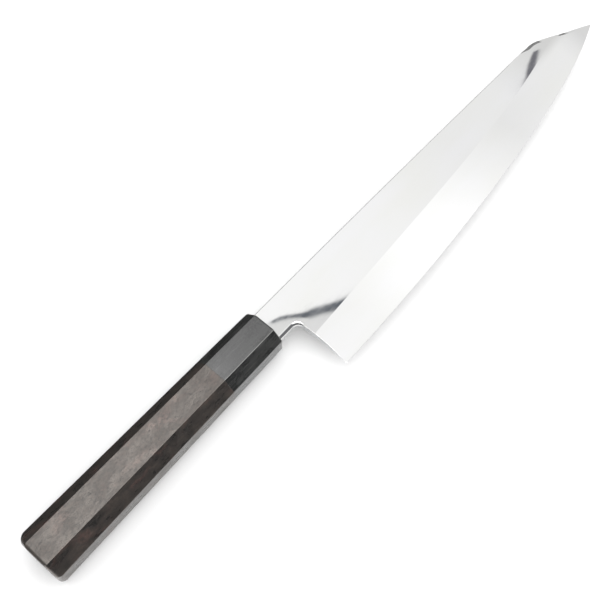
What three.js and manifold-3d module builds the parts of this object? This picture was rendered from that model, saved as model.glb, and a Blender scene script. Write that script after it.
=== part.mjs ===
// Kiritsuke-style chef knife with an octagonal wooden handle, lying on its left face.
// Millimetres. +X runs to the point, +Y to the spine, +Z up; the cutting edge faces -Y.
// The knife's own datum is on the handle's axis, 0.8 mm behind the ferrule's front face.

import * as THREE from 'three';
import { mergeVertices } from 'three/addons/utils/BufferGeometryUtils.js';
import Module from 'manifold-3d';

const wasm = await Module();
wasm.setup();

// Handle: an octagon that tapers from the butt to the front of the ferrule
const FRONT_X = 0.8;
const JOINT_X = -32.5;
const BUTT_X = -141.85;
const GLUE_LINE = 0.1;
const FRONT = { halfHeight: 10.84, halfThickness: 9.34, bevelLeg: 5.11 };
const BUTT = { halfHeight: 12.93, halfThickness: 10.97, bevelLeg: 6.27 };
const FRONT_ROUND = 0.8;
const BUTT_ROUND = 1.5;
const ROUND_STEPS = 5;

// Blade: both faces are flat from the spine to a ridge, then ground down to the edge
const NECK_START = -5;
const TIP_X = 253.3;
const HEEL_X = 12.9;
const EDGE_HEEL_Y = -39.2;
const EDGE_SWEEP = 22.3;
const EDGE_SWEEP_POWER = 2;
const EDGE_UPTURN = 5.85;
const EDGE_UPTURN_POWER = 9;
const SPINE_START_Y = 8.7;
const SPINE_SLOPE = -0.0054;
const SPINE_BOW = -0.00004;
const RIDGE_START_Y = -19.5;
const RIDGE_SLOPE = 0.041;
const RIDGE_RISE = 7.15;
const RIDGE_RISE_X = 218;
const RIDGE_RISE_POWER = 5;
const RIDGE_END_X = 230;
const RIDGE_FADE = 0.12;
const CORNER_X = 221.6;
const CORNER_BLEND = 2.5;
const EASE_WIDTH = 0.3;
const CHAMFER_WIDTH = 1.8;
const CHAMFER_DROP = 0.5;
const CHAMFER_WIDTH_SHARE = 0.3;
const CHAMFER_DROP_SHARE = 0.4;
const CHAMFER_START_X = 211;
const CHAMFER_FULL_X = 219;
const FACE_HALF_THICKNESS = 1.85;
const FACE_TAPER_X = -0.004;
const FACE_TAPER_Y = 0.012;
const EDGE_HALF_THICKNESS = 0.08;
const LONG_STEP = 6;
const TIP_STEP = 1.4;
const TIP_GAP = 0.4;

// Notch between the heel and the neck
const NECK_BOTTOM_Y = -9;
const CHOIL_RADIUS = 3.9;
const CHOIL_X = 9.8;
const HEEL_BOW_X = 14.6;
const CUTTER_MARGIN = 20;
const CUTTER_ARC_STEPS = 12;

// Hidden tang, its slotted dowel and the plug that closes the mouth of the ferrule
const TANG_END = -98;
const TANG_POINT = 4;
const TANG_FRONT_HALF_HEIGHT = 5;
const TANG_REAR_HALF_HEIGHT = 3;
const TANG_THICKNESS = 3;
const MOUTH_BACK_X = -6.8;
const MOUTH_WALL = 0.5;
const MOUTH_GAP = 0.2;
const CLEARANCE = 0.3;
const DOWEL_RADIUS = 6.1;
const DOWEL_FRONT = -7.3;
const DOWEL_END = -108;
const DOWEL_SLOT_END = -100;
const ROUND_SEGMENTS = 48;

const MERGE_DISTANCE = 1e-4;
const { lerp, smoothstep } = THREE.MathUtils;

/** Closed surface through rings of [x, y, z] points that run anticlockwise seen from +X. */
function loft(rings, startPoint, endPoint) {
  const count = rings[0].length;
  const positions = [...rings.flat(2), ...startPoint, ...endPoint];
  const start = rings.length * count;
  const end = start + 1;
  const last = start - count;
  const index = [];
  for (let j = 0; j < count; j++) {
    const next = (j + 1) % count;
    index.push(start, next, j);
    index.push(end, last + j, last + next);
    for (let i = 0; i < last; i += count) {
      index.push(i + j, i + next, i + count + next);
      index.push(i + j, i + count + next, i + count + j);
    }
  }
  const geometry = new THREE.BufferGeometry();
  geometry.setAttribute('position', new THREE.Float32BufferAttribute(positions, 3));
  geometry.setIndex(index);
  return geometry;
}

function toSolid(geometry) {
  const bare = geometry.clone();
  bare.deleteAttribute('normal');
  bare.deleteAttribute('uv');
  const merged = mergeVertices(bare, MERGE_DISTANCE);
  const mesh = new wasm.Mesh({
    numProp: 3,
    vertProperties: new Float32Array(merged.attributes.position.array),
    triVerts: new Uint32Array(merged.index.array),
  });
  return new wasm.Manifold(mesh);
}

function toGeometry(solid) {
  const mesh = solid.getMesh();
  const geometry = new THREE.BufferGeometry();
  geometry.setAttribute('position', new THREE.Float32BufferAttribute(mesh.vertProperties, 3));
  geometry.setIndex(Array.from(mesh.triVerts));
  geometry.computeVertexNormals();
  return geometry;
}

/** Box between two x values, two y values and +-halfThickness in z. */
function block(x0, x1, y0, y1, halfThickness) {
  const geometry = new THREE.BoxGeometry(x1 - x0, y1 - y0, 2 * halfThickness);
  geometry.translate((x0 + x1) / 2, (y0 + y1) / 2, 0);
  return toSolid(geometry);
}

/** Round bar on the handle's axis between two x values. */
function bar(x0, x1, radius) {
  const geometry = new THREE.CylinderGeometry(radius, radius, x1 - x0, ROUND_SEGMENTS);
  geometry.rotateZ(-Math.PI / 2);
  geometry.translate((x0 + x1) / 2, 0, 0);
  return toSolid(geometry);
}

/** Flat plate of an outline in XY, centred on z = 0. */
function plate(shape, thickness) {
  const geometry = new THREE.ExtrudeGeometry(shape, {
    depth: thickness,
    bevelEnabled: false,
    curveSegments: CUTTER_ARC_STEPS,
  });
  geometry.translate(0, 0, -thickness / 2);
  return toSolid(geometry);
}

/** Handle octagon at x, with every flat moved in by the inset. */
function octagon(x, inset) {
  const t = (FRONT_X - x) / (FRONT_X - BUTT_X);
  const a = lerp(FRONT.halfHeight, BUTT.halfHeight, t) - inset;
  const b = lerp(FRONT.halfThickness, BUTT.halfThickness, t) - inset;
  const leg = lerp(FRONT.bevelLeg, BUTT.bevelLeg, t) - inset * (2 - Math.SQRT2);
  return [
    [x, a, b - leg],
    [x, a - leg, b],
    [x, leg - a, b],
    [x, -a, b - leg],
    [x, -a, leg - b],
    [x, leg - a, -b],
    [x, a - leg, -b],
    [x, a, leg - b],
  ];
}

/** Rings of a rounded-over end, from its full section to the end face; round 0 gives one ring. */
function endRings(endX, inward, round) {
  if (round === 0) {
    return [octagon(endX, 0)];
  }
  const rings = [];
  for (let i = 0; i <= ROUND_STEPS; i++) {
    const angle = (i / ROUND_STEPS) * (Math.PI / 2);
    const x = endX + inward * round * (1 - Math.sin(angle));
    rings.push(octagon(x, round * (1 - Math.cos(angle))));
  }
  return rings;
}

/** Octagonal length of handle; each end is square or rounded over. */
function octagonalBar(x0, x1, round0, round1) {
  const rings = [...endRings(x0, 1, round0).reverse(), ...endRings(x1, -1, round1)];
  return toSolid(loft(rings, [x0, 0, 0], [x1, 0, 0]));
}

function edgeY(x) {
  const u = Math.max(0, (x - HEEL_X) / (TIP_X - HEEL_X));
  return EDGE_HEEL_Y + EDGE_SWEEP * u ** EDGE_SWEEP_POWER + EDGE_UPTURN * u ** EDGE_UPTURN_POWER;
}

function spineY(x) {
  return SPINE_START_Y + SPINE_SLOPE * x + SPINE_BOW * x ** 2;
}

/** Spine, then the straight cut down to the point, joined by a small parabola. */
function topY(x) {
  const cutSlope = (spineY(TIP_X) - edgeY(TIP_X)) / (TIP_X - CORNER_X);
  const past = x - CORNER_X;
  let drop = Math.max(0, past);
  if (Math.abs(past) < CORNER_BLEND) {
    drop = (past + CORNER_BLEND) ** 2 / (4 * CORNER_BLEND);
  }
  return spineY(x) - cutSlope * drop;
}

function ridgeCurveY(x) {
  const rise = RIDGE_RISE * (Math.max(0, x) / RIDGE_RISE_X) ** RIDGE_RISE_POWER;
  return RIDGE_START_Y + RIDGE_SLOPE * x + rise;
}

function flatHalfThickness(x, y) {
  return FACE_HALF_THICKNESS + FACE_TAPER_X * x + FACE_TAPER_Y * (y - SPINE_START_Y);
}

/** Rise of the ground bevel, so that it meets the flat on the ridge. */
function bevelSlope(x) {
  const ridgeX = Math.min(x, RIDGE_END_X);
  const ridgeY = ridgeCurveY(ridgeX);
  const rise = flatHalfThickness(ridgeX, ridgeY) - EDGE_HALF_THICKNESS;
  return rise / (ridgeY - edgeY(ridgeX));
}

function halfThickness(x, y) {
  const bevel = EDGE_HALF_THICKNESS + bevelSlope(x) * (y - edgeY(x));
  return Math.min(flatHalfThickness(x, y), bevel);
}

/** Section of the blade at x: top, chamfer, ridge and edge on the right face, then the left. */
function bladeSection(x) {
  const grown = smoothstep(x, CHAMFER_START_X, CHAMFER_FULL_X);
  const top = topY(x);
  const bottom = edgeY(x);
  const fullWidth = lerp(EASE_WIDTH, CHAMFER_WIDTH, grown);
  const border = top - Math.min(fullWidth, CHAMFER_WIDTH_SHARE * (top - bottom));
  const ridge = Math.min(ridgeCurveY(x), lerp(border, bottom, RIDGE_FADE));
  const borderHalf = halfThickness(x, border);
  const fullDrop = lerp(EASE_WIDTH, CHAMFER_DROP, grown);
  const right = [
    [x, top, borderHalf - Math.min(fullDrop, CHAMFER_DROP_SHARE * borderHalf)],
    [x, border, borderHalf],
    [x, ridge, halfThickness(x, ridge)],
    [x, bottom, EDGE_HALF_THICKNESS],
  ];
  const left = right.map(([px, py, pz]) => [px, py, -pz]);
  return [...right, ...left.reverse()];
}

function choilCutter() {
  const shape = new THREE.Shape();
  shape.moveTo(NECK_START - CUTTER_MARGIN, NECK_BOTTOM_Y);
  shape.lineTo(NECK_START - CUTTER_MARGIN, EDGE_HEEL_Y - CUTTER_MARGIN);
  shape.lineTo(HEEL_X, EDGE_HEEL_Y - CUTTER_MARGIN);
  shape.lineTo(HEEL_X, EDGE_HEEL_Y);
  const choilY = NECK_BOTTOM_Y - CHOIL_RADIUS;
  shape.quadraticCurveTo(HEEL_BOW_X, (EDGE_HEEL_Y + choilY) / 2, CHOIL_X + CHOIL_RADIUS, choilY);
  shape.absarc(CHOIL_X, choilY, CHOIL_RADIUS, 0, Math.PI / 2, false);
  shape.closePath();
  return plate(shape, CUTTER_MARGIN);
}

function tangOutline() {
  const shape = new THREE.Shape();
  shape.moveTo(0, TANG_FRONT_HALF_HEIGHT);
  shape.lineTo(TANG_END + TANG_POINT, TANG_REAR_HALF_HEIGHT);
  shape.quadraticCurveTo(TANG_END, TANG_REAR_HALF_HEIGHT, TANG_END, 0);
  shape.quadraticCurveTo(TANG_END, -TANG_REAR_HALF_HEIGHT, TANG_END + TANG_POINT, -TANG_REAR_HALF_HEIGHT);
  shape.lineTo(0, -TANG_FRONT_HALF_HEIGHT);
  shape.closePath();
  return shape;
}

function bladeSolid() {
  const rings = [];
  for (let x = NECK_START; x < CHAMFER_START_X; x += LONG_STEP) {
    rings.push(bladeSection(x));
  }
  for (let x = CHAMFER_START_X; x < TIP_X - TIP_GAP; x += TIP_STEP) {
    rings.push(bladeSection(x));
  }
  rings.push(bladeSection(TIP_X - TIP_GAP));
  const body = toSolid(loft(rings, [NECK_START, 0, 0], [TIP_X, edgeY(TIP_X), 0]));
  return body.subtract(choilCutter()).add(plate(tangOutline(), TANG_THICKNESS));
}

/** Rectangle round the neck, grown outwards by the margin. */
function neckBlock(x0, x1, margin) {
  const y0 = NECK_BOTTOM_Y - margin;
  const y1 = SPINE_START_Y + margin;
  return block(x0, x1, y0, y1, FACE_HALF_THICKNESS + margin);
}

function ferruleSolid() {
  const body = octagonalBar(JOINT_X, FRONT_X, 0, FRONT_ROUND);
  const bore = bar(JOINT_X - CLEARANCE, MOUTH_BACK_X + CLEARANCE, DOWEL_RADIUS + CLEARANCE);
  return body.subtract(bore).subtract(neckBlock(MOUTH_BACK_X, FRONT_X + CLEARANCE, MOUTH_WALL + MOUTH_GAP));
}

function gripSolid() {
  const front = JOINT_X - GLUE_LINE;
  const body = octagonalBar(BUTT_X, front, BUTT_ROUND, 0);
  return body.subtract(bar(DOWEL_END - CLEARANCE, front + CLEARANCE, DOWEL_RADIUS + CLEARANCE));
}

function dowelSolid() {
  const slot = block(DOWEL_SLOT_END, 0, -FRONT.halfHeight, FRONT.halfHeight, TANG_THICKNESS / 2 + CLEARANCE);
  return bar(DOWEL_END, DOWEL_FRONT, DOWEL_RADIUS).subtract(slot);
}

function sealSolid() {
  const back = MOUTH_BACK_X + 2 * CLEARANCE;
  const outer = neckBlock(back, FRONT_X - CLEARANCE, MOUTH_WALL);
  return outer.subtract(neckBlock(back - CLEARANCE, FRONT_X, MOUTH_GAP));
}

function piece(name, solid, material) {
  const mesh = new THREE.Mesh(toGeometry(solid), material);
  mesh.name = name;
  return mesh;
}

const steel = new THREE.MeshStandardMaterial({ color: 0xdcdfe0, roughness: 0.12, metalness: 1 });
const horn = new THREE.MeshStandardMaterial({ color: 0x1d1e1e, roughness: 0.35, metalness: 0 });
const ebony = new THREE.MeshStandardMaterial({ color: 0x2e2421, roughness: 0.5, metalness: 0 });
const beech = new THREE.MeshStandardMaterial({ color: 0xb58a5a, roughness: 0.8, metalness: 0 });
const adhesive = new THREE.MeshStandardMaterial({ color: 0x141312, roughness: 0.5, metalness: 0 });

const handle = new THREE.Group();
handle.add(piece('ferrule', ferruleSolid(), horn));
handle.add(piece('handle_body', gripSolid(), ebony));
handle.add(piece('tang_dowel', dowelSolid(), beech));
handle.add(piece('tang_seal', sealSolid(), adhesive));

// The origin is the centre of the knife's footprint, on the surface it lies on
const widest = octagon(BUTT_X + BUTT_ROUND, 0);
const [, halfHeight] = widest[0];
const [, , restDepth] = widest[1];
const knife = new THREE.Group();
knife.add(handle);
knife.add(piece('blade', bladeSolid(), steel));
knife.position.set(-(BUTT_X + TIP_X) / 2, -(halfHeight + EDGE_HEEL_Y) / 2, restDepth);

export default knife;
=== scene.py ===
"""Looks of a kiritsuke-style chef knife: mirror-polished blade, octagonal ebony grip, horn ferrule.

The shapes are worked out in millimetres from a datum on the handle's axis, just behind the ferrule's
front face, with +X to the point, +Y to the spine and +Z out of the blade's right face, and placed in
the frame's metres.
"""

import math

import bpy
import numpy as np
from mathutils import Matrix, Vector
from mathutils.geometry import delaunay_2d_cdt


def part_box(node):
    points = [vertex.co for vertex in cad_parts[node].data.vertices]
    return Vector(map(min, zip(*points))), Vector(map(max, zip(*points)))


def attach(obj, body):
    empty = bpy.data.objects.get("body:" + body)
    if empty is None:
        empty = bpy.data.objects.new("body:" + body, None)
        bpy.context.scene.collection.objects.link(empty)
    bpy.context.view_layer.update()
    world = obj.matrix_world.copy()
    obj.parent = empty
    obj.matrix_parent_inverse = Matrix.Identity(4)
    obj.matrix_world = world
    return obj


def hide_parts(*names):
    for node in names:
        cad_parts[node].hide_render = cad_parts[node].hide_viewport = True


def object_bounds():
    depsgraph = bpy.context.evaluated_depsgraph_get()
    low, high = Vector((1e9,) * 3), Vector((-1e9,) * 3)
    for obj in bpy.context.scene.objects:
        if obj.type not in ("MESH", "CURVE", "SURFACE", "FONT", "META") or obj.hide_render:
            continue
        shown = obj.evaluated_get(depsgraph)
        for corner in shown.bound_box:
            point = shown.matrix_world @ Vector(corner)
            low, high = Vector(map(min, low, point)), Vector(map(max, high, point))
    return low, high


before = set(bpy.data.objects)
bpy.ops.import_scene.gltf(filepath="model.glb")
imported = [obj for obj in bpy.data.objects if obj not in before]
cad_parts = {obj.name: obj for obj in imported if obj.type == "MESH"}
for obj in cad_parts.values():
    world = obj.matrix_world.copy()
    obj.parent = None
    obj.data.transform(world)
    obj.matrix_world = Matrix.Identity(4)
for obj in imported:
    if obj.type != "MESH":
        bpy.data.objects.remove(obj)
cad_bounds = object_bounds()

MM = 0.001
SMALL = 1e-6
FRONT_X = 0.8
FERRULE_LOW, FERRULE_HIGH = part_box("ferrule")
GRIP_LOW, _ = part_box("handle_body")
_, BLADE_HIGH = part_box("blade")
DATUM = Vector((
    FERRULE_HIGH[0] - FRONT_X * MM,
    (FERRULE_LOW[1] + FERRULE_HIGH[1]) / 2,
    (FERRULE_LOW[2] + FERRULE_HIGH[2]) / 2,
))

# Handle: an octagon that tapers from the butt to the front of the ferrule. A section is its half
# width along Y, its half height along Z and the leg of its corner bevels. A flare multiplies an
# end's rounding on the side that faces the spine and on the side that faces the edge.
BUTT_X = (GRIP_LOW[0] - DATUM.x) / MM
JOINT_X = (FERRULE_LOW[0] - DATUM.x) / MM
FRONT_SECTION = (10.84, 9.34, 5.11)
BUTT_SECTION = (12.93, 10.95, 6.27)
FRONT_ROUND = 0.8
FRONT_FLARE = (2.2, 1.0)
BUTT_ROUND = 1.25
BUTT_FLARE = (3.75, 2.3)
FLARE_POWER = 4
BUTT_CROWN = 0.28
JOINT_ROUND = 0.05
END_ANGLES = np.radians(np.arange(0, 91, 10))
CROWN_SHARES = (0.96, 0.88, 0.76, 0.6, 0.42, 0.22)
ARRIS_RADIUS = 0.55
ARRIS_POINTS = 7
FACET_TURN = 45
LEG_SHARE = 1 - math.sqrt(0.5)
LENGTH_RINGS = 30
RING_MARGIN = 1
MOUTH_HALF_HEIGHT = 9.55
MOUTH_HALF_THICKNESS = 2.55
MOUTH_DEPTH = 6.0
SEAL_RECESS = 0.35
SEAL_DEPTH = 5.0
SEAL_GAP = 0.02
SEAL_BORE_INSET = 1.2
SEAL_BORE_HALF_THICKNESS = 1.0

# Blade outline
TIP_X = (BLADE_HIGH[0] - DATUM.x) / MM
NECK_START = -4.5
NECK_BOTTOM_Y = -9.0
SPINE_START_Y = 8.7
SPINE_SLOPE = -0.0054
SPINE_BOW = -0.00004
HEEL_X = 12.9
HEEL_BOW_X = 14.6
EDGE_HEEL_Y = -39.2
EDGE_SWEEP = 22.3
EDGE_SWEEP_POWER = 2
EDGE_UPTURN = 5.85
EDGE_UPTURN_POWER = 9
CHOIL_X = 9.8
CHOIL_RADIUS = 3.9
CORNER_X = 221.6
CORNER_BLEND = 3.0
RIDGE_START_Y = -19.5
RIDGE_SLOPE = 0.041
RIDGE_LIFT = 7.15
RIDGE_LIFT_X = 218
RIDGE_LIFT_POWER = 5
RIDGE_END_X = 230

# Blade thickness, as half thicknesses. The thinnest facet counts at each point, and NO_LIMIT is
# thicker than the blade anywhere.
FLAT_HALF = 1.85
FLAT_TAPER_X = -0.004
FLAT_TAPER_Y = 0.012
NO_LIMIT = 2.5
LIP_HALF_THICKNESS = 0.02
MICRO_BEVEL_RISE = 0.45
BEVEL_START = 0.035
BEVEL_CROWN = 0.035
CHAMFER_WIDTH = 2.0
CUT_WIDTH = 1.7
CHAMFER_START_X = 209.4
CHAMFER_END_X = 249
CHAMFER_FADE = 8
CHAMFER_MARGIN = 0.5
MIN_CHAMFER = 0.001
CHAMFER_SHARE = 0.84
CORNER_STEEPNESS = 0.38
CORNER_TURN_START = 0.5
CORNER_TURN_END = 5
CUT_STEEPNESS = 0.18
DIP_X = 235.0
DIP_STEEPNESS = 0.2
DIP_LEAD = 2
DIP_RISE = 0.6
DIP_HOLD = 1
DIP_LENGTH = 6.5

# Rounding of the blade's outline. A lean is the sine of the angle that the surface turns outwards.
NECK_ROUND = 2.0
NECK_LEAN = 0.985
NECK_SOFTNESS = 1.4
CHOIL_FADE_ANGLE = 0.95
HEEL_ROUND = 0.34
SPINE_ROUND = 0.4
SPINE_FADE_X = (196, 212)
EDGE_LEAN = 0.74
EDGE_LEAN_SHARE = 0.3
RIM_TURN_SHARE = 0.75
RIM_LEAN = 0.99
CUT_ROUND = 0.05
MIN_ROUND = 0.02
ROUND_SHARE = 0.6
ROUND_DEPTH = 0.97

# Blade mesh
NECK_STEP = 0.8
CHOIL_POINTS = 28
HEEL_POINTS = 40
EDGE_POINTS = 260
CUT_POINTS = 60
SPINE_POINTS = 150
RIDGE_STEP = 0.8
RIDGE_REACH = 12
CHAMFER_STEP = 0.5
MICRO_STEP = 0.9
MICRO_MARGIN = 0.6
PROFILE_STEPS = 400
BISECTIONS = 40
BLOCK_POINTS = 1500
WELD_DISTANCE = 1e-5
RING_SHARES = (0.03, 0.08, 0.15, 0.22, 0.29, 0.36, 0.43, 0.5, 0.57, 0.64, 0.74, 0.85, 1.0)
FILL_STEP = 2.0
FILL_MARGIN = 0.9

# Camera: angles in degrees, distance in metres, and the point it aims at, in millimetres on the
# middle plane of the blade
CAMERA_AZIMUTH = 41.4
CAMERA_ELEVATION = 63.96
CAMERA_ROLL = -0.24
CAMERA_DISTANCE = 0.4888
CAMERA_AIM = (23.29, -1.81, 0)
CAMERA_LENS = 61.88
CAMERA_SENSOR = 36

# Studio boards beyond the spine, in metres
FLAG_NEAR_Y = 0.024
FLAG_FAR_Y = 0.12

# Dark gaps in the studio's surround, by the slopes u = X/Z and v = Y/Z of a direction
NECK_GAP_U = 0.3317
NECK_GAP_V = 0.3047
NECK_GAP_SLOPE = -0.667
NECK_GAP_HALF = 0.0019
NECK_GAP_MIN_HALF = 0.0010
NECK_GAP_OPENING = 0.095
NECK_WAVE_RATE = 155.0
NECK_WAVE_PHASE = -0.52
NECK_WAVE_HEIGHT = 0.0021
POINT_GAP_U = 0.8145
POINT_GAP_TOP_V = 0.3071
POINT_GAP_TOP_SLOPE = 0.374
POINT_GAP_LOW_V = 0.2975
POINT_GAP_LOW_SLOPE = 0.43
POINT_GAP_END_V = 0.306
POINT_GAP_END_SLANT = 1.75
NECK_GAP_STRENGTH = 0.93
POINT_GAP_STRENGTH = 0.88
DIMMER_STRENGTH = 0.23
HORIZON_STRENGTH = 0.35
MIN_UP = 0.02


def place(points):
    """Millimetres from the datum to metres in the frame."""
    return np.asarray(points, float) * MM + np.array(DATUM)


# ---------------------------------------------------------------- node helpers

def new_material(name):
    material = bpy.data.materials.new(name)
    material.use_nodes = True
    return material, material.node_tree


def set_inputs(tree, node, inputs):
    """Link each input to a socket, or give it a value."""
    for key, value in inputs.items():
        if isinstance(value, bpy.types.NodeSocket):
            tree.links.new(value, node.inputs[key])
        else:
            node.inputs[key].default_value = value


def add_node(tree, kind, settings=None, inputs=None):
    """A node with its properties set, and its inputs linked or given a value."""
    node = tree.nodes.new(kind)
    for key, value in (settings or {}).items():
        setattr(node, key, value)
    set_inputs(tree, node, inputs or {})
    return node


def calc(tree, operation, a, b=0.0, c=0.0):
    node = add_node(tree, "ShaderNodeMath", {"operation": operation}, {0: a, 1: b, 2: c})
    return node.outputs[0]


def remap(tree, value, low, high, to_low, to_high):
    """Smooth step of a value from one range to another."""
    inputs = {"Value": value, "From Min": low, "From Max": high, "To Min": to_low, "To Max": to_high}
    return add_node(tree, "ShaderNodeMapRange", {"interpolation_type": "SMOOTHSTEP"}, inputs).outputs[0]


def noise(tree, size, detail=3.0, roughness=0.5, distortion=0.0, offset=(0, 0, 0)):
    """Noise whose features are about size millimetres long in X, Y and Z."""
    coords = add_node(tree, "ShaderNodeTexCoord")
    scale = tuple(1 / (s * MM) for s in size)
    mapping = add_node(tree, "ShaderNodeMapping", {}, {
        "Vector": coords.outputs["Object"], "Scale": scale, "Location": offset,
    })
    texture = add_node(tree, "ShaderNodeTexNoise", {}, {
        "Vector": mapping.outputs[0], "Scale": 1.0, "Detail": detail,
        "Roughness": roughness, "Distortion": distortion,
    })
    return texture.outputs["Fac"]


def ramp(tree, value, stops):
    """Colour ramp with the given (position, colour) stops."""
    node = add_node(tree, "ShaderNodeValToRGB", {}, {"Fac": value})
    elements = node.color_ramp.elements
    while len(elements) < len(stops):
        elements.new(1.0)
    for element, (position, colour) in zip(elements, stops):
        element.position = position
        element.color = (*colour, 1.0)
    return node.outputs["Color"]


def mix_colour(tree, factor, a, b, blend="MIX"):
    settings = {"data_type": "RGBA", "blend_type": blend}
    node = add_node(tree, "ShaderNodeMix", settings, {0: factor, 6: a, 7: b})
    return node.outputs[2]


def bump(tree, height, distance_mm, strength=1.0, normal=None):
    inputs = {"Height": height, "Distance": distance_mm * MM, "Strength": strength}
    if normal is not None:
        inputs["Normal"] = normal
    return add_node(tree, "ShaderNodeBump", {}, inputs).outputs[0]


def shader(tree, inputs):
    set_inputs(tree, tree.nodes["Principled BSDF"], inputs)


def normal_part(tree, axis):
    """The part of the surface's normal along one axis."""
    normal = add_node(tree, "ShaderNodeNewGeometry").outputs["Normal"]
    return add_node(tree, "ShaderNodeSeparateXYZ", {}, {0: normal}).outputs[axis]


# ---------------------------------------------------------------- materials

def steel_material():
    """Mirror-polished steel with fine polishing lines, a very slight haze and satin rims."""
    material, tree = new_material("mirror_steel")
    haze = noise(tree, (40, 14, 14), detail=2.0)
    lines = noise(tree, (60, 0.22, 0.22), detail=2.0)
    cloud = noise(tree, (9, 5, 5), detail=3.0, offset=(7, 3, 0))
    tint = ramp(tree, haze, [(0.3, (0.80, 0.80, 0.785)), (0.7, (0.815, 0.815, 0.82))])
    marks = remap(tree, lines, 0.35, 0.75, 0.0, 0.012)
    roughness = calc(tree, "ADD", marks, remap(tree, cloud, 0.3, 0.7, 0.012, 0.03))
    rim = remap(tree, calc(tree, "ABSOLUTE", normal_part(tree, "Z")), 0.06, 0.22, 1.0, 0.0)
    tint = mix_colour(tree, rim, tint, (0.55, 0.56, 0.57, 1))
    roughness = calc(tree, "MULTIPLY_ADD", rim, 0.12, roughness)
    waves = bump(tree, noise(tree, (22, 12, 12), detail=0.0, offset=(3, 5, 0)), 0.009)
    shader(tree, {
        "Base Color": tint,
        "Metallic": 1.0,
        "Roughness": roughness,
        "Normal": bump(tree, lines, 0.0001, normal=waves),
    })
    return material


def arris_highlight_mask(tree):
    """Mask of the arris between the top and the bevel that faces the cutting edge, where a highlight is
    painted.
    """
    across = normal_part(tree, "Y")
    off_bevel = remap(tree, across, -0.6, -0.45, 0.0, 1.0)
    off_top = remap(tree, across, -0.28, -0.12, 1.0, 0.0)
    return calc(tree, "MULTIPLY", off_bevel, off_top)


def ebony_material():
    """Fine-sanded ebony: near-black brown with clouds, reddish patches, faint grain and pores."""
    material, tree = new_material("ebony")
    cloud = noise(tree, (9, 4.5, 4.5), detail=4.0, roughness=0.55, distortion=0.3)
    patch = noise(tree, (17, 7, 7), detail=2.0, distortion=0.5, offset=(2.6, 1, 4))
    streak = noise(tree, (11, 0.8, 0.8), detail=3.0, roughness=0.55)
    mottle = noise(tree, (1.9, 1.1, 1.1), detail=4.0, roughness=0.7, offset=(3, 9, 1))
    pores = remap(tree, noise(tree, (2.0, 0.16, 0.16), detail=1.0, offset=(5, 2, 8)), 0.62, 0.7, 0.0, 1.0)
    base = ramp(tree, cloud, [
        (0.38, (0.0035, 0.0033, 0.0033)),
        (0.50, (0.0080, 0.0064, 0.0058)),
        (0.62, (0.0210, 0.0150, 0.0118)),
    ])
    red = mix_colour(tree, remap(tree, patch, 0.50, 0.66, 0.0, 0.85), base, (0.046, 0.0230, 0.0190, 1))
    grained = mix_colour(tree, remap(tree, streak, 0.42, 0.7, 0.0, 0.45), red, (0.030, 0.0220, 0.0180, 1))
    spots = remap(tree, mottle, 0.42, 0.6, 0.0, 0.75)
    mottled = mix_colour(tree, spots, grained, (0.0058, 0.0053, 0.0050, 1))
    colour = mix_colour(tree, calc(tree, "MULTIPLY", pores, 0.6), mottled, (0.004, 0.0035, 0.0035, 1))
    # painted highlight: the arris between the top and the edge-side bevel is coloured lighter
    painted_highlight = calc(tree, "MULTIPLY", arris_highlight_mask(tree), 0.5)
    colour = mix_colour(tree, painted_highlight, colour, (0.20, 0.18, 0.165, 1))
    height = calc(tree, "SUBTRACT", calc(tree, "MULTIPLY", mottle, 0.6), pores)
    shader(tree, {
        "Base Color": colour,
        "Roughness": remap(tree, calc(tree, "MULTIPLY_ADD", mottle, 0.5, cloud), 0.58, 0.92, 0.24, 0.50),
        "IOR": 1.55,
        "Specular Tint": (1.0, 0.87, 0.76, 1),
        "Coat Weight": 0.75,
        "Coat Roughness": 0.36,
        "Normal": bump(tree, height, 0.036),
    })
    return material


def horn_material():
    """Black buffalo horn with faint grey-green clouds and hairline growth streaks."""
    material, tree = new_material("buffalo_horn")
    cloud = noise(tree, (12, 5, 5), detail=4.0, distortion=0.8, offset=(1, 4, 2))
    hairline = noise(tree, (12, 0.4, 0.4), detail=3.0, offset=(2, 2, 6))
    speck = noise(tree, (0.9, 0.5, 0.5), detail=2.0, offset=(4, 1, 1))
    base = ramp(tree, cloud, [
        (0.34, (0.0030, 0.0032, 0.0033)),
        (0.52, (0.0058, 0.0061, 0.0060)),
        (0.70, (0.0130, 0.0138, 0.0130)),
    ])
    hairs = remap(tree, hairline, 0.54, 0.68, 0.0, 0.6)
    colour = mix_colour(tree, hairs, base, (0.052, 0.054, 0.050, 1))
    # painted highlight: the arris between the top and the edge-side bevel is coloured light grey
    colour = mix_colour(tree, arris_highlight_mask(tree), colour, (0.26, 0.26, 0.25, 1))
    shader(tree, {
        "Base Color": colour,
        "Roughness": remap(tree, calc(tree, "MULTIPLY_ADD", speck, 0.7, cloud), 0.68, 1.02, 0.13, 0.44),
        "IOR": 1.44,
        "Coat Weight": 0.8,
        "Coat Roughness": 0.34,
        "Normal": bump(tree, calc(tree, "ADD", speck, hairline), 0.02),
    })
    return material


def dowel_material():
    """Bare pale wood with long grain."""
    material, tree = new_material("dowel_wood")
    grain = noise(tree, (18, 0.5, 0.5), detail=4.0)
    colour = ramp(tree, grain, [(0.3, (0.36, 0.22, 0.12)), (0.7, (0.60, 0.42, 0.25))])
    shader(tree, {"Base Color": colour, "Roughness": 0.75, "Normal": bump(tree, grain, 0.05)})
    return material


def adhesive_material():
    """Dark cured adhesive, slightly uneven."""
    material, tree = new_material("adhesive")
    lumps = noise(tree, (0.9, 0.9, 0.9), detail=3.0)
    colour = ramp(tree, lumps, [(0.3, (0.010, 0.009, 0.008)), (0.7, (0.028, 0.025, 0.022))])
    shader(tree, {"Base Color": colour, "Roughness": 0.45, "Normal": bump(tree, lumps, 0.05)})
    return material


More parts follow.
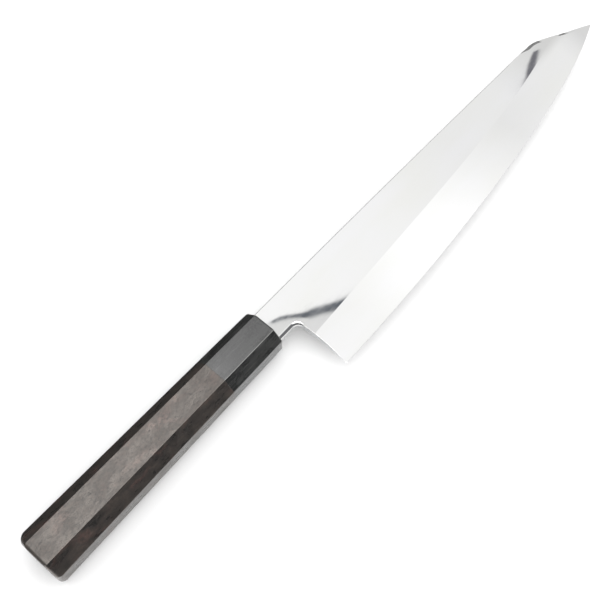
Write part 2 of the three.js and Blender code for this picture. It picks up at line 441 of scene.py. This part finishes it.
def floor_material():
    material, tree = new_material("studio_floor")
    shader(tree, {"Base Color": (0.78, 0.78, 0.78, 1), "Roughness": 0.9, "Specular IOR Level": 0.0})
    return material


# ---------------------------------------------------------------- mesh helpers

def make_piece(name, points, faces, material, corner_normals=None, vertex_normals=None):
    """A mesh object from millimetre points, with exact normals where they are given."""
    mesh = bpy.data.meshes.new(name)
    mesh.from_pydata(place(points).tolist(), [], faces)
    mesh.validate()
    mesh.shade_smooth()
    if corner_normals is not None:
        mesh.normals_split_custom_set(corner_normals)
    if vertex_normals is not None:
        mesh.normals_split_custom_set_from_vertices(vertex_normals)
    mesh.materials.append(material)
    piece = bpy.data.objects.new(name, mesh)
    bpy.context.scene.collection.objects.link(piece)
    return piece


# ---------------------------------------------------------------- blade shape

def edge_y(x):
    u = np.clip((x - HEEL_X) / (TIP_X - HEEL_X), 0, None)
    return EDGE_HEEL_Y + EDGE_SWEEP * u ** EDGE_SWEEP_POWER + EDGE_UPTURN * u ** EDGE_UPTURN_POWER


def spine_y(x):
    return SPINE_START_Y + SPINE_SLOPE * x + SPINE_BOW * x ** 2


CUT_SLOPE = (spine_y(TIP_X) - edge_y(TIP_X)) / (TIP_X - CORNER_X)


def top_y(x):
    """The spine, then the straight cut to the point, joined by a small parabola."""
    past = x - CORNER_X
    blend = np.clip(past + CORNER_BLEND, 0, 2 * CORNER_BLEND) ** 2 / (4 * CORNER_BLEND)
    return spine_y(x) - CUT_SLOPE * (blend + np.clip(past - CORNER_BLEND, 0, None))


def ridge_y(x):
    lift = RIDGE_LIFT * (np.clip(x, 0, None) / RIDGE_LIFT_X) ** RIDGE_LIFT_POWER
    return RIDGE_START_Y + RIDGE_SLOPE * x + lift


def flat_half(x, y):
    """Half thickness on the flat between the spine and the ridge."""
    return FLAT_HALF + FLAT_TAPER_X * x + FLAT_TAPER_Y * (y - SPINE_START_Y)


def bevel_half(x, y):
    """Half thickness on the slightly crowned bevel between the ridge and the edge."""
    at = np.minimum(x, RIDGE_END_X)
    width = ridge_y(at) - edge_y(at)
    rise = flat_half(at, ridge_y(at)) - BEVEL_START
    share = (y - edge_y(x)) / width
    return BEVEL_START + rise * share + BEVEL_CROWN * 4 * share * (1 - share)


def ease(x, start, stop):
    """Smooth step from 0 to 1."""
    share = np.clip((x - start) / (stop - start), 0, 1)
    return share * share * (3 - 2 * share)


def chamfer_width(x):
    """Width along Y of the chamfer, which grows out of the spine, narrows along the cut and fades."""
    grown = ease(x, CHAMFER_START_X, CHAMFER_START_X + CHAMFER_FADE)
    on_cut = ease(x, CORNER_X + CORNER_TURN_END, DIP_X - DIP_LEAD)
    width = CHAMFER_WIDTH + (CUT_WIDTH - CHAMFER_WIDTH) * on_cut
    return width * grown * (1 - ease(x, CHAMFER_END_X - CHAMFER_FADE, CHAMFER_END_X))


def chamfer_line(x):
    return top_y(x) - chamfer_width(x)


def chamfer_half(x, y):
    """Half thickness on the narrow chamfer.

    It is steep round the corner and flatter along the cut, with one short steeper dip.
    """
    inner = chamfer_line(x)
    inner_half = np.minimum(flat_half(x, inner), bevel_half(x, inner))
    on_cut = ease(x, CORNER_X + CORNER_TURN_START, CORNER_X + CORNER_TURN_END)
    fall = CORNER_STEEPNESS + (CUT_STEEPNESS - CORNER_STEEPNESS) * on_cut
    dip = ease(x, DIP_X, DIP_X + DIP_RISE) * (1 - ease(x, DIP_X + DIP_HOLD, DIP_X + DIP_LENGTH))
    fall = fall + DIP_STEEPNESS * dip
    fall = np.minimum(fall, CHAMFER_SHARE * inner_half / np.maximum(chamfer_width(x), MIN_CHAMFER))
    falling = inner_half - fall * (y - inner)
    within = (x > CHAMFER_START_X + CHAMFER_MARGIN) & (x < CHAMFER_END_X - CHAMFER_MARGIN)
    return np.where(within, falling, NO_LIMIT)


def micro_half(x, y):
    """Half thickness on the narrow final bevel of the cutting edge."""
    return LIP_HALF_THICKNESS + MICRO_BEVEL_RISE * (y - edge_y(x))


FACETS = (flat_half, bevel_half, chamfer_half, micro_half)


def base_half(x, y):
    return np.min([facet(x, y) for facet in FACETS], axis=0)


def blade_outline():
    """Outline points, anticlockwise from above, and the radius each edge is rounded to."""
    choil_y = NECK_BOTTOM_Y - CHOIL_RADIUS
    neck_x = np.arange(NECK_START, CHOIL_X, NECK_STEP)
    neck = np.stack([neck_x, np.full_like(neck_x, NECK_BOTTOM_Y)], 1)
    angle = np.linspace(math.pi / 2, 0, CHOIL_POINTS)
    arc = np.stack([np.cos(angle), np.sin(angle)], 1)
    choil = np.array([[CHOIL_X, choil_y]]) + CHOIL_RADIUS * arc
    t = np.linspace(0, 1, HEEL_POINTS)[1:, None]
    middle = np.array([[HEEL_BOW_X, (EDGE_HEEL_Y + choil_y) / 2]])
    corner = np.array([[HEEL_X, EDGE_HEEL_Y]])
    heel = (1 - t) ** 2 * choil[-1:] + 2 * t * (1 - t) * middle + t ** 2 * corner
    edge_x = np.linspace(HEEL_X, TIP_X, EDGE_POINTS)[1:]
    edge = np.stack([edge_x, edge_y(edge_x)], 1)
    cut_x = np.linspace(TIP_X, CORNER_X - 2 * CORNER_BLEND, CUT_POINTS)[1:]
    cut = np.stack([cut_x, top_y(cut_x)], 1)
    spine_x = np.linspace(cut_x[-1], NECK_START, SPINE_POINTS)[1:]
    spine = np.stack([spine_x, top_y(spine_x)], 1)
    choil_round = HEEL_ROUND + (NECK_ROUND - HEEL_ROUND) * ease(angle, 0.0, CHOIL_FADE_ANGLE)
    spine_round = CUT_ROUND + (SPINE_ROUND - CUT_ROUND) * (1 - ease(spine_x, *SPINE_FADE_X))
    parts = ((neck, NECK_ROUND), (choil, choil_round), (heel, HEEL_ROUND), (edge, 0.0),
             (cut, CUT_ROUND), (spine, spine_round))
    points = np.concatenate([part for part, _ in parts])
    radii = np.concatenate([np.broadcast_to(radius, len(part)) for part, radius in parts])
    limit = ROUND_SHARE * base_half(points[:, 0], points[:, 1])
    behind = np.arange(len(points)) < len(neck) + len(choil)
    return points, np.where(behind, radii, np.minimum(radii, limit))


def meeting_line(first, second, start, stop, step):
    """Where two facets meet: the crease's points, one for each x."""
    x = np.arange(start, stop, step)
    low, high = edge_y(x), top_y(x)
    crosses = (first(x, low) - second(x, low)) * (first(x, high) - second(x, high)) < 0
    x, low, high = x[crosses], low[crosses], high[crosses]
    sign = np.sign(first(x, low) - second(x, low))
    for _ in range(BISECTIONS):
        middle = (low + high) / 2
        below = sign * (first(x, middle) - second(x, middle)) > 0
        low, high = np.where(below, middle, low), np.where(below, high, middle)
    return np.stack([x, low], 1)


def nearest_on_outline(points, outline, radii):
    """Distance to the closest rounded edge, its radius there and the way out through it."""
    start, end = outline, np.roll(outline, -1, axis=0)
    start_r, end_r = radii, np.roll(radii, -1)
    kept = np.maximum(start_r, end_r) > 0
    kept[-1] = False
    start, end, start_r, end_r = start[kept], end[kept], start_r[kept], end_r[kept]
    along = end - start
    length2 = (along ** 2).sum(1)
    outward = np.stack([along[:, 1], -along[:, 0]], 1) / np.sqrt(length2)[:, None]
    distance, radius, away = [], [], []
    for block in np.array_split(points, max(1, len(points) // BLOCK_POINTS)):
        offset = block[:, None, :] - start[None]
        t = np.clip((offset * along[None]).sum(2) / length2[None], 0, 1)
        gap = np.linalg.norm(offset - t[..., None] * along[None], axis=2)
        pick = gap.argmin(1)
        rows = np.arange(len(block))
        share = t[rows, pick]
        distance.append(gap[rows, pick])
        radius.append(start_r[pick] * (1 - share) + end_r[pick] * share)
        away.append(outward[pick])
    return np.concatenate(distance), np.concatenate(radius), np.concatenate(away)


def edge_profile(depth, radius):
    """Profile of a rounded edge, from the rim (depth 0) to its inner side (depth 1).

    A narrow edge is a chamfer with soft corners, and a wide one is fully rounded. Gives how far the
    normal leans outwards, and the height lost as a share of the edge's width.
    """
    share = np.linspace(0, 1, PROFILE_STEPS + 1)
    rim_turn = np.clip((share - RIM_TURN_SHARE) / (1 - RIM_TURN_SHARE), 0, 1)
    narrow = EDGE_LEAN * ease(share, 0, EDGE_LEAN_SHARE) + (1 - EDGE_LEAN) * rim_turn
    wide = NECK_LEAN * share ** NECK_SOFTNESS
    across = np.clip(1 - depth, 0, 1)
    width = ease(radius, HEEL_ROUND, NECK_ROUND)
    lean, drop = 0, 0
    for out, weight in ((narrow, 1 - width), (wide, width)):
        middle = (out[1:] + out[:-1]) / 2
        loss = np.concatenate([[0], np.cumsum(middle / np.sqrt(1 - middle ** 2))]) / PROFILE_STEPS
        lean = lean + weight * np.interp(across, share, out)
        drop = drop + weight * np.interp(across, share, loss)
    return lean, drop


def facet_gradient(facet, x, y):
    step = 0.01
    slope_x = (facet(x + step, y) - facet(x - step, y)) / (2 * step)
    slope_y = (facet(x, y + step) - facet(x, y - step)) / (2 * step)
    return slope_x, slope_y


def fill_points(lines):
    """An even lattice inside the outline, kept clear of the outline and the creases."""
    rows = []
    y = EDGE_HEEL_Y
    shift = 0.0
    while y < SPINE_START_Y:
        x = np.arange(NECK_START + shift, TIP_X, FILL_STEP)
        rows.append(np.stack([x, np.full_like(x, y)], 1))
        y += FILL_STEP * math.sqrt(3) / 2
        shift = FILL_STEP / 2 - shift
    points = np.concatenate(rows)
    x, y = points[:, 0], points[:, 1]
    in_blade = (y > edge_y(x)) & (y < top_y(x))
    behind_heel = (x < HEEL_BOW_X) & (y < NECK_BOTTOM_Y)
    points = points[in_blade & ~behind_heel]
    marks = np.concatenate(lines)
    gap = np.array([np.hypot(*(marks - point).T).min() for point in points])
    return points[gap > FILL_MARGIN]


def inside_outline(points, outline):
    """Even-odd test of each point against the closed outline."""
    x, y = points[:, :1], points[:, 1:]
    x0, y0 = outline.T
    x1, y1 = np.roll(outline, -1, axis=0).T
    spans = (y0 > y) != (y1 > y)
    rise = np.where(y1 == y0, 1.0, y1 - y0)
    return (spans & (x < x0 + (x1 - x0) * (y - y0) / rise)).sum(1) % 2 == 1


def triangulate_blade():
    """Triangles of one face of the blade in plan, split along every crease and rounding line."""
    outline, radii = blade_outline()
    ahead, behind = np.roll(outline, -1, axis=0), np.roll(outline, 1, axis=0)
    tangent = ahead - behind
    outward = np.stack([tangent[:, 1], -tangent[:, 0]], 1) / np.linalg.norm(tangent, axis=1)[:, None]
    margin = 2 * CHAMFER_MARGIN
    chamfer_x = np.arange(CHAMFER_START_X + margin, CHAMFER_END_X - margin, CHAMFER_STEP)
    creases = [
        meeting_line(flat_half, bevel_half, HEEL_X, CORNER_X + RIDGE_REACH, RIDGE_STEP),
        np.stack([chamfer_x, chamfer_line(chamfer_x)], 1),
        meeting_line(micro_half, bevel_half, HEEL_X, TIP_X - MICRO_MARGIN, MICRO_STEP),
    ]
    rounded = radii > MIN_ROUND
    for share in RING_SHARES:
        ring = outline - outward * (radii * share)[:, None]
        turns = np.flatnonzero(np.diff(rounded.astype(int))) + 1
        for part in np.split(np.arange(len(ring)), turns):
            if rounded[part[0]]:
                creases.append(ring[part])
    points = list(outline)
    constraints = []
    for line in creases:
        first = len(points)
        points.extend(line)
        constraints.extend((first + i, first + i + 1) for i in range(len(line) - 1))
    points.extend(fill_points([outline, *creases]))
    flat_points, _, triangles, *_ = delaunay_2d_cdt(
        [Vector(p) for p in points], constraints, [list(range(len(outline)))], 1, WELD_DISTANCE, True)
    plan, triangles = np.array([tuple(p) for p in flat_points]), np.array(triangles)
    return plan, triangles[inside_outline(plan[triangles].mean(1), outline)], outline, radii


def blade_piece(material):
    """The blade: both faces, joined by a narrow rim along the outline."""
    plan, triangles, outline, radii = triangulate_blade()
    count = len(plan)
    x, y = plan[:, 0], plan[:, 1]
    distance, radius, away = nearest_on_outline(plan, outline, radii)
    lean, drop = edge_profile(distance / np.maximum(radius, SMALL), radius)
    upright = np.sqrt(1 - lean ** 2)
    full = base_half(x, y)
    half = full - np.minimum(radius, ROUND_DEPTH * full) * drop

    centre = plan[triangles].mean(1)
    which = np.argmin([facet(centre[:, 0], centre[:, 1]) for facet in FACETS], axis=0)
    normals = np.zeros((len(triangles), 3, 3))
    for number, facet in enumerate(FACETS):
        corners = triangles[which == number]
        slope_x, slope_y = facet_gradient(facet, x[corners], y[corners])
        face = np.stack([-slope_x, -slope_y, np.ones_like(slope_x)], 2)
        face /= np.linalg.norm(face, axis=2)[..., None]
        out = np.concatenate([away[corners], np.zeros((*corners.shape, 1))], 2)
        normals[which == number] = face * upright[corners][..., None] + out * lean[corners][..., None]

    edges = np.concatenate([triangles[:, [0, 1]], triangles[:, [1, 2]], triangles[:, [2, 0]]])
    edges = np.sort(edges, axis=1)
    keys, uses = np.unique(edges, axis=0, return_counts=True)
    border = {tuple(key) for key in keys[uses == 1]}
    right_faces = triangles.tolist()
    left_faces = (triangles[:, ::-1] + count).tolist()
    rim_faces, rim_normals = [], []
    for a, b, c in right_faces:
        for start, end in ((a, b), (b, c), (c, a)):
            if (min(start, end), max(start, end)) in border:
                rim_faces.append([end, start, start + count, end + count])
                along = plan[end] - plan[start]
                across = np.array([along[1], -along[0], 0]) / np.hypot(*along)
                for corner in (end, start, start, end):
                    soft = lean[corner] > RIM_LEAN
                    rim_normals.append(np.array([*away[corner], 0]) if soft else across)
    points = np.concatenate([np.stack([x, y, half], 1), np.stack([x, y, -half], 1)])
    mirrored = normals[:, ::-1] * np.array([1, 1, -1])
    corner_normals = np.concatenate([normals.reshape(-1, 3), mirrored.reshape(-1, 3), np.array(rim_normals)])
    return make_piece("blade_steel", points, right_faces + left_faces + rim_faces, material,
                      corner_normals=corner_normals.tolist())


# ---------------------------------------------------------------- handle shape

def octagon_corners(x, inset, far_inset, near_inset):
    """The eight corners of the handle's section, anticlockwise from the upper spine side."""
    t = (FRONT_X - x) / (FRONT_X - BUTT_X)
    a, b, leg = (front + (butt - front) * t for front, butt in zip(FRONT_SECTION, BUTT_SECTION))
    far, near, b = a - far_inset, a - near_inset, b - inset
    far_leg = leg - (inset + far_inset) * LEG_SHARE
    near_leg = leg - (inset + near_inset) * LEG_SHARE
    return [(far, b - far_leg), (far - far_leg, b), (near_leg - near, b), (-near, b - near_leg),
            (-near, near_leg - b), (near_leg - near, -b), (far - far_leg, -b), (far, far_leg - b)]


def handle_ring(x, inset=0.0, lean=0.0, flare=(1.0, 1.0), setback=0.0):
    """Section with rounded arrises at x, and its normals, which lean along X by an angle.

    The inset and setback of a rounded end are multiplied by the flare on the sides that face the
    spine and the edge.
    """
    taper_y = (BUTT_SECTION[0] - FRONT_SECTION[0]) / (FRONT_X - BUTT_X)
    taper_z = (BUTT_SECTION[1] - FRONT_SECTION[1]) / (FRONT_X - BUTT_X)
    corners = octagon_corners(x, inset + ARRIS_RADIUS, inset * flare[0] + ARRIS_RADIUS,
                              inset * flare[1] + ARRIS_RADIUS)
    points, normals = [], []
    for number, (y, z) in enumerate(corners):
        start = number * FACET_TURN
        for angle in np.radians(np.linspace(start, start + FACET_TURN, ARRIS_POINTS)):
            across, up = math.cos(angle), math.sin(angle)
            py, pz = y + ARRIS_RADIUS * across, z + ARRIS_RADIUS * up
            side = flare[0] if py > 0 else flare[1]
            wide = 1 + (side - 1) * min(abs(py) / FRONT_SECTION[0], 1) ** FLARE_POWER
            points.append((x + setback * wide, py, pz))
            slope = taper_y * across ** 2 + taper_z * up ** 2
            upright = math.cos(lean)
            normal = Vector((slope * upright + math.sin(lean), across * upright, up * upright))
            normals.append(normal.normalized())
    return points, normals


def rounded_end(end_x, inward, radius, flare=(1.0, 1.0)):
    """Rings of a rounded-over end, from its full section to the end face."""
    rings = []
    for angle in END_ANGLES:
        inset = radius * (1 - math.cos(angle))
        setback = inward * radius * (1 - math.sin(angle))
        rings.append(handle_ring(end_x, inset, -inward * angle, flare, setback))
    return rings


def handle_length(start, start_rings, stop, stop_rings):
    """Rings between two ends, which are given from their full section outwards."""
    middle = [handle_ring(x) for x in np.linspace(start, stop, LENGTH_RINGS)]
    return [*reversed(start_rings), *middle, *stop_rings]


def crown_rings(ring, end_x, height):
    """Shallow dome over an end face, from its rim inwards."""
    rings = []
    for share in CROWN_SHARES:
        points = [(end_x + height * share ** 2, y * share, z * share) for _, y, z in ring]
        rings.append((points, [dome_normal(y, z, height) for _, y, z in points]))
    return rings


def dome_normal(y, z, height):
    slope = 2 * height / BUTT_SECTION[1] ** 2
    return Vector((-1, slope * y, slope * z)).normalized()


def skin(rings, closed_start, closed_end):
    """Quads between rings of equal length, with flat fans over the closed ends."""
    points = [p for ring, _ in rings for p in ring]
    normals = [n for _, ring_normals in rings for n in ring_normals]
    size = len(rings[0][0])
    faces = []
    for row in range(len(rings) - 1):
        for j in range(size):
            k = (j + 1) % size
            a = row * size
            faces.append([a + j, a + k, a + size + k, a + size + j])
    for closed, first, facing in ((closed_start, 0, -1), (closed_end, (len(rings) - 1) * size, 1)):
        if not closed:
            continue
        cap = len(points)
        points.extend(points[first:first + size])
        normals.extend([Vector((facing, 0, 0))] * size)
        points.append((points[first][0], 0, 0))
        normals.append(Vector((facing, 0, 0)))
        for j in range(size):
            k = (j + 1) % size
            pair = [cap + j, cap + k] if facing > 0 else [cap + k, cap + j]
            faces.append([cap + size, *pair])
    return points, faces, normals


def grip_piece(material):
    """Ebony grip with a rounded, slightly domed butt."""
    rim_x = BUTT_X + BUTT_CROWN
    butt = rounded_end(rim_x, 1, BUTT_ROUND, BUTT_FLARE)
    butt += crown_rings(butt[-1][0], BUTT_X, BUTT_CROWN)
    front = rounded_end(JOINT_X, -1, JOINT_ROUND)
    start_x = rim_x + BUTT_ROUND * max(BUTT_FLARE) + RING_MARGIN
    rings = handle_length(start_x, butt, JOINT_X - RING_MARGIN, front)
    points, faces, normals = skin(rings, True, True)
    return make_piece("grip_ebony", points, faces, material, vertex_normals=normals)


def mouth_ring(x, half_height, half_thickness, normal=None):
    """Rectangular ring round the neck, with a point for each point of a handle ring.

    Its normals point inwards unless one is given.
    """
    middle = (SPINE_START_Y + NECK_BOTTOM_Y) / 2
    points, normals = [], []
    for _, y, z in handle_ring(x)[0]:
        reach = min(half_height / max(abs(y), SMALL), half_thickness / max(abs(z), SMALL))
        points.append((x, middle + y * reach, z * reach))
        inward = (0, -y, 0) if abs(y * reach) > half_height - SMALL else (0, 0, -z)
        normals.append(Vector(normal or inward).normalized())
    return points, normals


def ferrule_piece(material):
    """Horn collar whose front face has a rectangular mouth for the neck."""
    back = rounded_end(JOINT_X, 1, JOINT_ROUND)
    front = rounded_end(FRONT_X, -1, FRONT_ROUND, FRONT_FLARE)
    stop_x = FRONT_X - FRONT_ROUND * max(FRONT_FLARE) - RING_MARGIN
    rings = handle_length(JOINT_X + RING_MARGIN, back, stop_x, front)
    face_points, _ = rings[-1]
    forward = (1, 0, 0)
    rings.append((face_points, [Vector(forward)] * len(face_points)))
    rings.append(mouth_ring(FRONT_X, MOUTH_HALF_HEIGHT, MOUTH_HALF_THICKNESS, forward))
    rings.append(mouth_ring(FRONT_X, MOUTH_HALF_HEIGHT, MOUTH_HALF_THICKNESS))
    rings.append(mouth_ring(-MOUTH_DEPTH, MOUTH_HALF_HEIGHT, MOUTH_HALF_THICKNESS))
    points, faces, normals = skin(rings, True, True)
    return make_piece("ferrule_horn", points, faces, material, vertex_normals=normals)


def seal_piece(material):
    """Adhesive plug round the neck, a little below the ferrule's face, closed against the steel."""
    outer = (MOUTH_HALF_HEIGHT - SEAL_GAP, MOUTH_HALF_THICKNESS - SEAL_GAP)
    bore = ((SPINE_START_Y - NECK_BOTTOM_Y) / 2 - SEAL_BORE_INSET, SEAL_BORE_HALF_THICKNESS)
    front, back = FRONT_X - SEAL_RECESS, -SEAL_DEPTH
    rings = [
        mouth_ring(back, *outer),
        mouth_ring(front, *outer),
        mouth_ring(front, *bore),
        mouth_ring(back, *bore),
        mouth_ring(back, *outer),
    ]
    points, faces, _ = skin(rings, False, False)
    piece = make_piece("mouth_seal", points, faces, material)
    piece.data.shade_flat()
    return piece


# ---------------------------------------------------------------- studio

def floor_piece(material):
    reach = 4.0
    corners = [(x * reach, y * reach, cad_bounds[0][2]) for x, y in ((-1, -1), (1, -1), (1, 1), (-1, 1))]
    mesh = bpy.data.meshes.new("floor")
    mesh.from_pydata(corners, [], [(0, 1, 2, 3)])
    mesh.materials.append(material)
    floor = bpy.data.objects.new("floor", mesh)
    bpy.context.scene.collection.objects.link(floor)


def softbox(name, centre, aim, width, depth, radiance, mirrored):
    """Rectangular area light of the given radiance, seen either by glossy surfaces or by matt ones."""
    data = bpy.data.lights.new(name, "AREA")
    data.shape = "RECTANGLE"
    data.size = width
    data.size_y = depth
    data.energy = radiance * math.pi * width * depth
    light = bpy.data.objects.new(name, data)
    light.location = centre
    light.rotation_euler = (Vector(aim) - Vector(centre)).to_track_quat("-Z", "Y").to_euler()
    light.visible_glossy = mirrored
    light.visible_diffuse = not mirrored
    bpy.context.scene.collection.objects.link(light)


def flag(name, start, stop, height, grey):
    """Dark board that lies beyond the spine and only shows in reflections."""
    x, y, floor_z = DATUM.x, DATUM.y, cad_bounds[0][2]
    low = (x + start, y + FLAG_NEAR_Y, floor_z)
    high = (x + stop, y + FLAG_FAR_Y, floor_z + height)
    corners = [(a, b, c) for c in (low[2], high[2]) for b in (low[1], high[1]) for a in (low[0], high[0])]
    faces = [(0, 2, 3, 1), (4, 5, 7, 6), (0, 1, 5, 4), (2, 6, 7, 3), (0, 4, 6, 2), (1, 3, 7, 5)]
    mesh = bpy.data.meshes.new(name)
    mesh.from_pydata(corners, [], faces)
    material, tree = new_material(name)
    shader(tree, {"Base Color": (grey, grey, grey, 1), "Roughness": 0.9, "Specular IOR Level": 0.0})
    mesh.materials.append(material)
    board = bpy.data.objects.new(name, mesh)
    board.visible_camera = False
    board.visible_diffuse = False
    board.visible_shadow = False
    board.visible_transmission = False
    bpy.context.scene.collection.objects.link(board)


def panels(tree, u, v):
    """Two rows of soft panels whose brightness changes along u."""
    def grey(*stops):
        return ramp(tree, u, [(position, (level, level, level)) for position, level in stops])

    high = grey((0.34, 1.15), (0.52, 1.10), (0.64, 1.01), (0.74, 1.0), (0.78, 0.93), (0.83, 0.80),
                (1.0, 0.80))
    low = grey((0.36, 1.12), (0.40, 1.13), (0.46, 1.22), (0.50, 1.28), (0.56, 1.25), (0.635, 1.11),
               (0.705, 0.99), (0.79, 1.035), (0.85, 1.04), (0.875, 0.98), (0.905, 0.85))
    fall = remap(tree, v, 0.10, 0.22, 1.03, 0.975)
    low = mix_colour(tree, 1.0, low, fall, "MULTIPLY")
    return mix_colour(tree, remap(tree, v, 0.228, 0.256, 0.0, 1.0), low, high)


def neck_gap(tree, u, v):
    """Masks of the gap mirrored near the neck, and of the dimmer panel below it.

    The gap is a slightly wavy wedge that opens towards the ridge.
    """
    from_neck = calc(tree, "SUBTRACT", u, NECK_GAP_U)
    wave = calc(tree, "SINE", calc(tree, "MULTIPLY_ADD", from_neck, NECK_WAVE_RATE, NECK_WAVE_PHASE))
    sway = calc(tree, "MULTIPLY", wave, remap(tree, from_neck, 0.036, 0.05, NECK_WAVE_HEIGHT, 0.0))
    centre = calc(tree, "ADD", calc(tree, "MULTIPLY_ADD", from_neck, NECK_GAP_SLOPE, NECK_GAP_V), sway)
    across = calc(tree, "SUBTRACT", v, centre)
    half = calc(tree, "MULTIPLY_ADD", from_neck, NECK_GAP_OPENING, NECK_GAP_HALF)
    offset = calc(tree, "DIVIDE", across, calc(tree, "MAXIMUM", half, NECK_GAP_MIN_HALF))
    high_row = remap(tree, v, 0.245, 0.255, 0.0, 1.0)
    near_neck = calc(tree, "MULTIPLY", high_row, remap(tree, u, 0.42, 0.44, 1.0, 0.0))
    gap = remap(tree, calc(tree, "ABSOLUTE", offset), 0.45, 1.25, 1.0, 0.0)
    gap = calc(tree, "MULTIPLY", gap, near_neck)
    gap = calc(tree, "MULTIPLY", gap, remap(tree, u, 0.3305, 0.3345, 0.3, 1.0))
    dimmer = calc(tree, "MULTIPLY", remap(tree, offset, -1.0, 0.0, 1.0, 0.0), near_neck)
    return gap, dimmer


def point_gap(tree, u, v):
    """Mask of the gap mirrored near the point: a band that ends on a slant."""
    from_point = calc(tree, "SUBTRACT", u, POINT_GAP_U)

    def above(height, slope):
        """How far v is above a sloping line."""
        rise = calc(tree, "MULTIPLY", from_point, slope)
        return calc(tree, "SUBTRACT", calc(tree, "SUBTRACT", v, height), rise)

    top_side = above(POINT_GAP_TOP_V, POINT_GAP_TOP_SLOPE)
    low_side = above(POINT_GAP_LOW_V, POINT_GAP_LOW_SLOPE)
    rise = calc(tree, "SUBTRACT", v, POINT_GAP_END_V)
    slant = calc(tree, "ADD", from_point, calc(tree, "MULTIPLY", rise, POINT_GAP_END_SLANT))
    gap = calc(tree, "MULTIPLY",
               remap(tree, top_side, -0.003, 0.001, 1.0, 0.0),
               remap(tree, low_side, -0.0013, 0.003, 0.0, 1.0))
    gap = calc(tree, "MULTIPLY", gap, remap(tree, slant, -0.0012, 0.0045, 1.0, 0.0))
    return calc(tree, "MULTIPLY", gap, remap(tree, v, 0.262, 0.272, 0.0, 1.0))


def studio_world():
    """Soft white surround with two narrow dark gaps, a dim side and a slightly darker horizon."""
    world = bpy.data.worlds.new("studio")
    bpy.context.scene.world = world
    world.use_nodes = True
    tree = world.node_tree
    coords = add_node(tree, "ShaderNodeTexCoord")
    axes = add_node(tree, "ShaderNodeSeparateXYZ", {}, {0: coords.outputs["Generated"]})
    up = calc(tree, "MAXIMUM", axes.outputs["Z"], MIN_UP)
    u = calc(tree, "DIVIDE", axes.outputs["X"], up)
    v = calc(tree, "DIVIDE", axes.outputs["Y"], up)
    black = (0, 0, 0, 1)

    by_neck, dimmer = neck_gap(tree, u, v)
    by_point = point_gap(tree, u, v)
    lit = panels(tree, u, v)
    for mask, strength, colour in (
            (by_neck, NECK_GAP_STRENGTH, (0.07, 0.085, 0.11, 1)),
            (by_point, POINT_GAP_STRENGTH, (0.10, 0.10, 0.125, 1)),
            (dimmer, DIMMER_STRENGTH, black)):
        lit = mix_colour(tree, calc(tree, "MULTIPLY", mask, strength), lit, colour)

    # the dim side faces the cutting edge
    edge_side = remap(tree, v, -0.03, 0.07, 1.0, 0.0)
    dim = calc(tree, "MULTIPLY", edge_side, remap(tree, axes.outputs["X"], 0.38, 0.5, 1.0, 0.0))
    lit = mix_colour(tree, dim, lit, (0.19, 0.19, 0.20, 1))
    horizon = remap(tree, axes.outputs["Z"], 0.30, 0.42, HORIZON_STRENGTH, 0.0)
    mirrored = mix_colour(tree, horizon, lit, black)

    # matt surfaces are lit evenly, and the camera sees a pale backdrop
    rays = add_node(tree, "ShaderNodeLightPath")
    seen = mix_colour(tree, rays.outputs["Is Glossy Ray"], (1.1, 1.1, 1.1, 1), mirrored)
    seen = mix_colour(tree, rays.outputs["Is Camera Ray"], seen, (0.93, 0.93, 0.93, 1))
    tree.links.new(seen, tree.nodes["Background"].inputs["Color"])


def photo_camera():
    aim = Vector(place(CAMERA_AIM))
    azimuth, elevation = math.radians(CAMERA_AZIMUTH), math.radians(CAMERA_ELEVATION)
    level = math.cos(elevation)
    look = Vector((math.cos(azimuth) * level, math.sin(azimuth) * level, -math.sin(elevation)))
    data = bpy.data.cameras.new("camera")
    data.lens = CAMERA_LENS
    data.sensor_width = CAMERA_SENSOR
    camera = bpy.data.objects.new("camera", data)
    turn = look.to_track_quat("-Z", "Y").to_matrix().to_4x4()
    roll = Matrix.Rotation(math.radians(CAMERA_ROLL), 4, "Z")
    camera.matrix_world = Matrix.Translation(aim - look * CAMERA_DISTANCE) @ turn @ roll
    bpy.context.scene.collection.objects.link(camera)
    bpy.context.scene.camera = camera


# ---------------------------------------------------------------- assembly

def add_piece(piece, node):
    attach(piece, "root")
    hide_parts(node)


photo_camera()
add_piece(blade_piece(steel_material()), "blade")
add_piece(ferrule_piece(horn_material()), "ferrule")
add_piece(grip_piece(ebony_material()), "handle_body")
add_piece(seal_piece(adhesive_material()), "tang_seal")

# the hidden dowel keeps its CAD shape
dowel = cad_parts["tang_dowel"]
dowel.data.materials.clear()
dowel.data.materials.append(dowel_material())

floor_piece(floor_material())
flag("flag_near", start=-0.5, stop=0.12, height=0.028, grey=0.10)
flag("flag_far", start=0.12, stop=0.4, height=0.0285, grey=0.20)
softbox("overhead", (-0.06, 0.2, 0.9), (-0.06, 0.2, 0), width=0.48, depth=0.8, radiance=3.9, mirrored=True)
softbox("near_fill", (0.1, -0.55, 1.15), (0, 0, 0), width=1.8, depth=1.8, radiance=1.4, mirrored=False)
softbox("far_fill", (-0.1, 0.7, 1.1), (0, 0, 0), width=1.4, depth=1.4, radiance=0.7, mirrored=False)
studio_world()
bpy.context.scene.view_settings.view_transform = "Standard"
